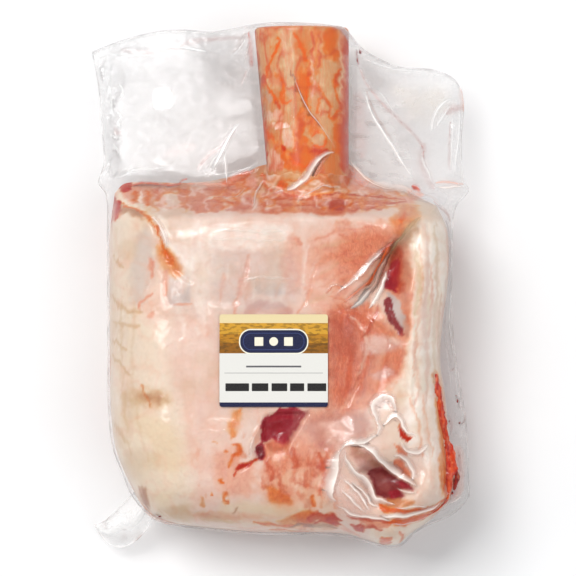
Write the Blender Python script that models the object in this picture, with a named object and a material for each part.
"""A raw bone-in beef shank sealed in a clear vacuum pack, with the card label stuck on the pack.

The pack is one closed solid. Its front film and back film share one grid and meet all round at the
sealed edge. They stand apart where the meat and the bare bone fill the bag, and lie on each other in
the empty flaps and margins. The grid's lines follow both the sealed edge and the meat's widest outline,
so that they run along the meat's steep sides. A flat ear of spare film leaves one lower corner.

Blender's metres, +Z up. The pack lies on its broad side. +Y runs from the thick end of the shank to
the sawn tip of the bone, and the origin is the centre of the pack's base. Every size below is in
millimetres, until mesh_object() turns it into metres.
"""

import bpy
import bmesh
import numpy as np

MM = 0.001

# Driving dimensions, in millimetres.
CROWN_HEIGHT = 94.0  # top of the meat over the surface that it lies on
SEAM_HEIGHT = 42.0  # height of the meat's widest level, where the two films part
MEAT_ROUNDING = 29.0  # how far in from its side the meat reaches full height
ROUNDING_LEAN = 0.08  # the left side is rounder than the right by this much for each millimetre
BASE_ROUNDING = 27.0
ROUNDING_POWER = 2.15  # 2 is a quarter circle, more is squarer
CUT_RIDGE_Y = 38.0  # where the top face breaks into the trimmed end under the bone
CUT_RIDGE_HEIGHT = 87.0
CUT_SLOPE = 2.25
CUT_ROUNDING = 4.0
BONE_X = 10.8
BONE_AXIS_HEIGHT = 47.0
BONE_HALF_WIDTH_TIP = 25.3
BONE_HALF_WIDTH_ROOT = 20.6
BONE_HALF_THICKNESS = 22.5
BONE_TIP_Y = 134.6
BONE_ROOT_Y = 30.0
FILM_GAP = 0.6  # half the thickness of the two films where they lie together
FILM_BRIDGE = 9.0  # how wide the tight film spans an inner corner
FALL_OUTSIDE = 3.0  # slope at which a form drops away outside its own outline

LABEL_CENTRE = (-3.5, -37.9)
LABEL_SIZE = (55.0, 47.0)
LABEL_THICKNESS = 0.5
LABEL_CORNER = 1.2
LABEL_CORNER_STEPS = 4
LABEL_FACE_HEIGHT = 93.2  # the pack is pressed flat at this height under the label
LABEL_FLAT_MARGIN = 9.0
LABEL_CLEARANCE = 0.3

BONE_END_ROUNDING = 2.5  # how far back from the sawn tip the film reaches the bone's full thickness
SLOPE_SMOOTHING = 0.02  # keeps a rounded side from starting quite upright

# Faces across and along each film, in three bands: the left margin, the meat and the right margin, and
# the lower margin, the meat and the flap with the bone. Lines crowd together at (place, width) in a band.
COLUMNS = (2, 40, 3)
ROWS = (2, 40, 15)
COLUMN_CROWDS = [(0.0, 0.05), (1.0, 0.06), (0.45, 0.02), (0.72, 0.02)]
ROW_CROWDS = [(0.0, 0.05), (1.0, 0.06), (0.9, 0.04)]
FLAP_CROWDS = [(0.0, 0.08), (1.0, 0.03)]
CROWDING = 0.05

# The sealed edge as (x, y, height) points: across the top from the left corner, down the right side,
# across the bottom, and down the left side.
TOP_EDGE = [
    (-99.5, 123.2, 24), (-84.0, 129.0, 27), (-66.0, 133.4, 31), (-50.3, 134.2, 35),
    (-35.2, 132.9, 39), (-17.0, 135.7, 44), (-2.5, 137.0, 46), (15.2, 136.6, 46),
    (29.8, 134.9, 46), (36.5, 130.5, 45), (42.0, 124.3, 43), (50.6, 119.1, 40),
    (62.5, 114.6, 36), (79.2, 113.7, 31), (90.1, 109.5, 28), (95.5, 102.4, 26),
]
RIGHT_EDGE = [
    (95.5, 102.4, 26), (96.3, 93.1, 27), (95.0, 77.0, 29), (95.6, 57.2, 31),
    (98.6, 49.9, 32), (92.2, 42.0, 35), (90.0, 31.7, 38), (89.6, 14.6, 38),
    (89.8, -14.6, 34), (92.2, -38.5, 29), (97.2, -67.6, 24), (98.9, -90.5, 21),
    (99.5, -110.8, 18),
]
BOTTOM_EDGE = [
    (-67.0, -121.6, 36), (-61.0, -124.0, 36), (-53.4, -125.6, 36), (-38.9, -127.1, 37),
    (-9.8, -129.5, 38), (28.7, -130.2, 38), (43.3, -133.4, 35), (54.2, -136.6, 32),
    (63.1, -135.9, 30), (70.0, -129.4, 28), (77.0, -125.3, 25), (87.0, -122.2, 21),
    (94.8, -117.3, 19), (99.5, -110.8, 18),
]
LEFT_EDGE = [
    (-99.5, 123.2, 24), (-96.0, 105.0, 27), (-94.0, 83.2, 31), (-92.6, 65.0, 35),
    (-95.4, 54.1, 37), (-91.0, 45.6, 40), (-90.6, 18.7, 42), (-90.4, -38.5, 42),
    (-90.2, -60.3, 41), (-88.3, -82.2, 40), (-83.2, -97.0, 38), (-78.4, -108.7, 37),
    (-72.5, -116.5, 36), (-67.0, -121.6, 36),
]

# Where the lines between the bands meet each edge, by x on the top and bottom and by y on the sides.
TOP_BANDS = (-99.5, -95.0, 87.0, 95.5)
RIGHT_BANDS = (-110.8, -101.0, 42.0, 102.4)
BOTTOM_BANDS = (-67.0, -65.2, 91.0, 99.5)
LEFT_BANDS = (-121.6, -119.6, 47.0, 123.2)

# The meat's widest outline, with the height at which the joined films reach it.
MEAT_TOP_RUN = [
    (-87.0, 48.0, 40), (-80.0, 51.5, 41), (-68.0, 51.6, 42), (-42.0, 52.4, 44),
    (-19.0, 58.0, 45), (-9.8, 63.5, 46), (10.0, 66.0, 46), (31.0, 66.0, 46),
    (39.0, 61.5, 45), (50.0, 54.5, 43), (66.0, 49.5, 41), (81.5, 42.0, 38),
]
MEAT_RIGHT_RUN = [
    (81.5, 42.0, 38), (87.2, 29.5, 39), (88.2, 14.6, 38), (87.2, -2.0, 36),
    (85.0, -17.7, 34), (83.6, -38.5, 31), (86.4, -59.0, 28), (88.4, -80.0, 24),
    (91.2, -96.5, 22), (89.0, -111.0, 22),
]
MEAT_BOTTOM_RUN = [
    (-67.0, -119.8, 36), (-61.5, -122.6, 36), (-55.0, -124.4, 36), (-38.9, -126.4, 37),
    (-9.8, -128.7, 38), (28.7, -129.2, 38), (43.3, -132.4, 35), (54.2, -135.6, 32),
    (62.0, -134.6, 30), (68.3, -129.0, 28), (78.0, -122.3, 25), (89.0, -111.0, 22),
]
MEAT_LEFT_RUN = [
    (-87.0, 48.0, 40), (-89.6, 28.0, 42), (-89.8, 3.0, 42), (-89.6, -38.0, 42),
    (-89.2, -62.0, 41), (-87.0, -83.0, 40), (-81.6, -97.8, 38), (-75.5, -109.8, 37),
    (-71.8, -115.0, 36), (-67.0, -119.8, 36),
]

# Broad forms of the top face: (x, y, half-width, half-length, turn in degrees, height).
SWELLS = [
    (72, -8, 13, 52, 4, 5.0),  # column of fat along the right side
    (58, 10, 7.5, 30, -34, -9.0),  # cleft between that column and the middle muscle
    (52, -38, 9, 26, -10, -4.0),
    (58, -98, 17, 10, 30, -10.0),  # hollow of the lower right corner
    (38, -82, 11, 12, 20, 3.0),
    (-64, 6, 10, 20, -6, -3.5),  # shallow dip behind the left shoulder
    (-52, -74, 24, 22, 0, 2.5),
    (0, -72, 7, 13, -30, -5.0),  # torn pocket under the label
    (54, -128, 11, 7, -10, 3.0),
]

# The ear: stations from the pack outwards, as (x, y, height, half-width, turn of the rib in degrees).
EAR = [
    (-69.0, -110.0, 36.0, 7.5, -42),
    (-74.0, -117.0, 33.0, 8.5, -38),
    (-79.5, -124.0, 27.0, 10.2, -22),
    (-85.5, -129.8, 20.0, 9.4, -42),
    (-91.0, -131.5, 13.5, 7.6, -64),
    (-95.5, -130.4, 9.5, 4.4, -70),
    (-98.6, -127.8, 8.0, 1.6, -60),
]
EAR_RIBS = 13
EAR_CUP = 1.2  # how far the ear's middle stands over its borders


def clear_scene():
    for obj in list(bpy.data.objects):
        bpy.data.objects.remove(obj, do_unlink=True)


def smooth_line(points, steps=6):
    """Points along a Catmull-Rom curve through the given ones."""
    p = np.array(points, float)
    p = np.concatenate([2 * p[:1] - p[1:2], p, 2 * p[-1:] - p[-2:-1]])
    t = np.linspace(0, 1, steps, endpoint=False)[:, None]
    spans = []
    for a, b, c, d in zip(p[:-3], p[1:-2], p[2:-1], p[3:]):
        bend = (2 * a - 5 * b + 4 * c - d) * t**2 + (3 * b - 3 * c + d - a) * t**3
        spans.append(0.5 * (2 * b + (c - a) * t + bend))
    return np.concatenate(spans + [p[-2:-1]])


def read_line(line, axis, at):
    """The line's points that have those values of x (axis 0) or y (axis 1)."""
    line = line[np.argsort(line[:, axis])]
    return np.stack([np.interp(at, line[:, axis], line[:, k]) for k in range(3)], -1)


def band_lines(axis, first, middle, last, first_ends, last_ends):
    """The four lines that bound the bands, as (line, where they cross the other four along that axis).

    The outer two are sealed edges. The inner two run along the meat, and straight on to the edges."""
    lines = [(smooth_line(first[0]), first[1])]
    for run, start, end in zip(middle, first_ends, last_ends):
        line = smooth_line(run)
        line = line[np.argsort(line[:, axis])]
        line = np.concatenate([[start], line, [end]])
        lines.append((line, (line[0, axis], line[1, axis], line[-2, axis], line[-1, axis])))
    return lines + [(smooth_line(last[0]), last[1])]


def pack_lines():
    """The lines across the pack, from the lower edge up, and the lines along it, from the left."""
    left = read_line(smooth_line(LEFT_EDGE), 1, np.array(LEFT_BANDS[1:3]))
    right = read_line(smooth_line(RIGHT_EDGE), 1, np.array(RIGHT_BANDS[1:3]))
    bottom = read_line(smooth_line(BOTTOM_EDGE), 0, np.array(BOTTOM_BANDS[1:3]))
    top = read_line(smooth_line(TOP_EDGE), 0, np.array(TOP_BANDS[1:3]))
    edges = (BOTTOM_EDGE, BOTTOM_BANDS), (TOP_EDGE, TOP_BANDS)
    across = band_lines(0, edges[0], (MEAT_BOTTOM_RUN, MEAT_TOP_RUN), edges[1], left, right)
    edges = (LEFT_EDGE, LEFT_BANDS), (RIGHT_EDGE, RIGHT_BANDS)
    along = band_lines(1, edges[0], (MEAT_LEFT_RUN, MEAT_RIGHT_RUN), edges[1], bottom, top)
    return across, along


def read_bands(lines, axis, band, at):
    """Points on the line with that number, at places from 0 to 3 along it."""
    found = [read_line(line, axis, np.interp(at, range(4), crossings)) for line, crossings in lines]
    return np.take_along_axis(np.stack(found), band[None, ..., None], 0)[0]


def seal_surface(u, v):
    """The surface on which the two films meet, for u and v from 0 to 3: a quilt of nine Coons patches."""
    across, along = pack_lines()
    i, j = np.minimum(u.astype(int), 2), np.minimum(v.astype(int), 2)
    low, high = read_bands(across, 0, j, u), read_bands(across, 0, j + 1, u)
    left, right = read_bands(along, 1, i, v), read_bands(along, 1, i + 1, v)
    low_left, low_right = read_bands(across, 0, j, i), read_bands(across, 0, j, i + 1)
    high_left, high_right = read_bands(across, 0, j + 1, i), read_bands(across, 0, j + 1, i + 1)
    s, t = (u - i)[..., None], (v - j)[..., None]
    between_corners = (1 - t) * ((1 - s) * low_left + s * low_right)
    between_corners += t * ((1 - s) * high_left + s * high_right)
    return (1 - t) * low + t * high + (1 - s) * left + s * right - between_corners


def meat_outline():
    """The meat's four runs as one closed line."""
    runs = [smooth_line(run) for run in (MEAT_TOP_RUN, MEAT_RIGHT_RUN, MEAT_BOTTOM_RUN, MEAT_LEFT_RUN)]
    top, right, bottom, left = runs
    return np.concatenate([top[:-1], right[:-1], bottom[::-1][:-1], left[::-1]])[:, :2]


def depth_inside(x, y, line):
    """Distance of each point in from a closed line, negative outside it."""
    nearest = np.full(x.shape, np.inf)
    inside = np.zeros(x.shape, bool)
    for (ax, ay), (bx, by) in zip(line[:-1], line[1:]):
        dx, dy = bx - ax, by - ay
        along = np.clip(((x - ax) * dx + (y - ay) * dy) / (dx * dx + dy * dy), 0, 1)
        nearest = np.minimum(nearest, np.hypot(x - ax - along * dx, y - ay - along * dy))
        if dy:
            crosses = (ay > y) != (by > y)
            inside ^= crosses & (x < ax + (y - ay) * dx / dy)
    return np.where(inside, nearest, -nearest)


def quarter_round(share):
    """Rises from 0 to 1 as the side of a rounded form does."""
    share = np.clip(share, 0, 1)
    share = np.clip(np.hypot(share, SLOPE_SMOOTHING) - SLOPE_SMOOTHING * (1 - share), 0, 1)
    return (1 - (1 - share) ** ROUNDING_POWER) ** (1 / ROUNDING_POWER)


def soft_max(a, b, width):
    """The higher of two surfaces, with a fillet of that width along the inner corner."""
    mix = np.clip(0.5 + 0.5 * (a - b) / width, 0, 1)
    return b + (a - b) * mix + width * mix * (1 - mix)


def soft_min(a, b, width):
    return -soft_max(-a, -b, width)


def swell(x, y, centre_x, centre_y, half_width, half_length, turn, height):
    """A smooth oval rise or, with a negative height, a hollow."""
    c, s = np.cos(np.radians(turn)), np.sin(np.radians(turn))
    across = ((x - centre_x) * c + (y - centre_y) * s) / half_width
    along = ((y - centre_y) * c - (x - centre_x) * s) / half_length
    return height * np.exp(-(across**2) - along**2)


def label_share(x, y, margin):
    """1 under the label, falling to 0 at that margin round it."""
    out_x = np.abs(x - LABEL_CENTRE[0]) - LABEL_SIZE[0] / 2
    out_y = np.abs(y - LABEL_CENTRE[1]) - LABEL_SIZE[1] / 2
    away = np.clip((np.maximum(out_x, out_y) - margin / 2) / margin, 0, 1)
    return 1 - away * away * (3 - 2 * away)


def meat_top(x, y, depth):
    crown = CROWN_HEIGHT + sum(swell(x, y, *form) for form in SWELLS)
    cut_end = CUT_RIDGE_HEIGHT - (y - CUT_RIDGE_Y) * CUT_SLOPE
    crown = soft_min(crown, cut_end, CUT_ROUNDING)
    rounding = MEAT_ROUNDING - ROUNDING_LEAN * x
    height = SEAM_HEIGHT + (crown - SEAM_HEIGHT) * quarter_round(depth / rounding)
    height = height + np.minimum(depth, 0) * FALL_OUTSIDE
    flat = label_share(x, y, LABEL_FLAT_MARGIN)
    return height + (LABEL_FACE_HEIGHT - height) * flat


def meat_base(depth):
    height = SEAM_HEIGHT * (1 - quarter_round(depth / BASE_ROUNDING))
    return height - np.minimum(depth, 0) * FALL_OUTSIDE


def bone_half_thickness(x, y):
    """How far the bone's skin stands over its axis, negative beside it."""
    along = np.clip((y - BONE_ROOT_Y) / (BONE_TIP_Y - BONE_ROOT_Y), 0, 1)
    half_width = BONE_HALF_WIDTH_ROOT + (BONE_HALF_WIDTH_TIP - BONE_HALF_WIDTH_ROOT) * along
    side = half_width - np.abs(x - BONE_X)
    height = BONE_HALF_THICKNESS * quarter_round(side / half_width)
    height = height * quarter_round((BONE_TIP_Y + FILM_GAP - y) / BONE_END_ROUNDING)
    outside = np.minimum(side, 0) + np.minimum(y - BONE_ROOT_Y, 0)
    return height + outside * FALL_OUTSIDE


def film_heights(seal):
    """Heights of the front film and the back film over each point of the seal surface."""
    x, y, web = np.moveaxis(seal, -1, 0)
    depth = depth_inside(x, y, meat_outline())
    bone = bone_half_thickness(x, y)
    front = soft_max(meat_top(x, y, depth), BONE_AXIS_HEIGHT + bone, FILM_BRIDGE)
    front = soft_max(front, web + FILM_GAP, FILM_BRIDGE)
    back = soft_min(meat_base(depth), BONE_AXIS_HEIGHT - bone, FILM_BRIDGE)
    back = np.maximum(soft_min(back, web - FILM_GAP, FILM_BRIDGE), 0.0)
    under_label = label_share(x, y, LABEL_FLAT_MARGIN) > 0.999
    return np.where(under_label, LABEL_FACE_HEIGHT, front), back


def spread_lines(count, crowds):
    """Grid positions from 0 to 1 that crowd together at the given places, each (place, width)."""
    fine = np.linspace(0, 1, 2001)
    density = np.ones_like(fine)
    for place, width in crowds:
        density += CROWDING / width * np.exp(-(((fine - place) / width) ** 2))
    total = np.concatenate([[0], np.cumsum((density[1:] + density[:-1]) / 2)])
    return np.interp(np.linspace(0, total[-1], count + 1), total, fine)


def bands(counts, crowds):
    """Grid positions from 0 to 3, band by band."""
    lines = [spread_lines(count, crowd) + i for i, (count, crowd) in enumerate(zip(counts, crowds))]
    return np.concatenate([lines[0], lines[1][1:], lines[2][1:]])


def mesh_object(name, points, faces, material):
    mesh = bpy.data.meshes.new(name)
    mesh.from_pydata((np.asarray(points) * MM).tolist(), [], faces)
    mesh.validate()
    obj = bpy.data.objects.new(name, mesh)
    bpy.context.scene.collection.objects.link(obj)
    mesh.materials.append(material)
    shape = bmesh.new()
    shape.from_mesh(mesh)
    bmesh.ops.recalc_face_normals(shape, faces=shape.faces)
    shape.to_mesh(mesh)
    shape.free()
    mesh.shade_smooth()
    return obj


def two_sided(front, back):
    """Points and triangles of a plate between two matching grids, with its rim.

    Both grids are split alike, each face along the diagonal that lies more level."""
    rows, columns = front.shape[:2]
    count = rows * columns
    points = np.concatenate([front.reshape(-1, 3), back.reshape(-1, 3)])
    height = np.concatenate([points[:count, 2:], points[count:, 2:]], 1)
    faces = []
    for r in range(rows - 1):
        for c in range(columns - 1):
            a, b = r * columns + c, r * columns + c + 1
            d, e = a + columns, b + columns
            if np.abs(height[a] - height[e]).sum() > np.abs(height[b] - height[d]).sum():
                a, b, e, d = b, e, d, a
            faces += [(a, b, e), (a, e, d)]
            faces += [(count + a, count + e, count + b), (count + a, count + d, count + e)]
    rim = list(range(columns))
    rim += [r * columns + columns - 1 for r in range(1, rows)]
    rim += [(rows - 1) * columns + c for c in range(columns - 2, -1, -1)]
    rim += [r * columns for r in range(rows - 2, 0, -1)]
    for i, j in zip(rim, rim[1:] + rim[:1]):
        faces += [(i, count + i, count + j), (i, count + j, j)]
    return points, faces


def make_filled_bag(material):
    """The meat, the bone and the flat flaps as one plate between the two films."""
    u, v = np.meshgrid(bands(COLUMNS, ([], COLUMN_CROWDS, [])), bands(ROWS, ([], ROW_CROWDS, FLAP_CROWDS)))
    seal = seal_surface(u, v)
    front_height, back_height = film_heights(seal)
    front, back = seal.copy(), seal.copy()
    front[..., 2], back[..., 2] = front_height, back_height
    return mesh_object("vacuum_bag", *two_sided(front, back), material)


def make_ear(material):
    """The curled ear of empty film at the lower left corner, as a thin plate from rib to rib."""
    x, y, height, half_width, turn = smooth_line(EAR, steps=3).T
    across = np.linspace(-1, 1, EAR_RIBS)
    angle = np.radians(turn)[:, None]
    offset = across * half_width[:, None]
    middle = np.stack(
        [
            x[:, None] + offset * np.cos(angle),
            y[:, None] + offset * np.sin(angle),
            height[:, None] + EAR_CUP * np.cos(across * np.pi) * half_width[:, None] / half_width.max(),
        ],
        -1,
    )
    rise = np.array([0, 0, FILM_GAP])
    return mesh_object("film_ear", *two_sided(middle + rise, middle - rise), material)


def join_by_union(base, others):
    """Joins the other shapes to the first and removes them."""
    helpers = bpy.data.collections.new("joined")
    bpy.context.scene.collection.children.link(helpers)
    for obj in others:
        bpy.context.scene.collection.objects.unlink(obj)
        helpers.objects.link(obj)
    union = base.modifiers.new("join", "BOOLEAN")
    union.operation = "UNION"
    union.operand_type = "COLLECTION"
    union.collection = helpers
    union.solver = "EXACT"
    graph = bpy.context.evaluated_depsgraph_get()
    joined = bpy.data.meshes.new_from_object(base.evaluated_get(graph))
    base.modifiers.clear()
    base.data = joined
    for obj in others:
        bpy.data.objects.remove(obj, do_unlink=True)
    bpy.data.collections.remove(helpers)
    joined.shade_smooth()
    return base


def make_label(material):
    """The stiff card label: a thin plate with rounded corners, just over the flat of the pack."""
    shape = bmesh.new()
    bmesh.ops.create_cube(shape, size=1.0)
    size = (*LABEL_SIZE, LABEL_THICKNESS)
    bmesh.ops.scale(shape, vec=[s * MM for s in size], verts=shape.verts)
    upright = [e for e in shape.edges if e.verts[0].co.xy == e.verts[1].co.xy]
    bmesh.ops.bevel(
        shape, geom=upright, offset=LABEL_CORNER * MM, segments=LABEL_CORNER_STEPS, profile=0.5,
        affect="EDGES", material=-1,
    )
    height = LABEL_FACE_HEIGHT + LABEL_CLEARANCE + LABEL_THICKNESS / 2
    place = (LABEL_CENTRE[0] * MM, LABEL_CENTRE[1] * MM, height * MM)
    bmesh.ops.translate(shape, vec=place, verts=shape.verts)
    mesh = bpy.data.meshes.new("label")
    shape.to_mesh(mesh)
    shape.free()
    mesh.materials.append(material)
    obj = bpy.data.objects.new("label", mesh)
    bpy.context.scene.collection.objects.link(obj)
    return obj


def make_material(name, colour, roughness):
    material = bpy.data.materials.new(name)
    material.use_nodes = True
    shader = material.node_tree.nodes["Principled BSDF"]
    shader.inputs["Base Color"].default_value = (*colour, 1.0)
    shader.inputs["Roughness"].default_value = roughness
    shader.inputs["Metallic"].default_value = 0.0
    return material


def main():
    clear_scene()
    film_over_meat = make_material("film over meat", (0.78, 0.46, 0.35), 0.25)
    card = make_material("printed card", (0.86, 0.85, 0.80), 0.5)
    bag = make_filled_bag(film_over_meat)
    join_by_union(bag, [make_ear(film_over_meat)])
    make_label(card)


main()
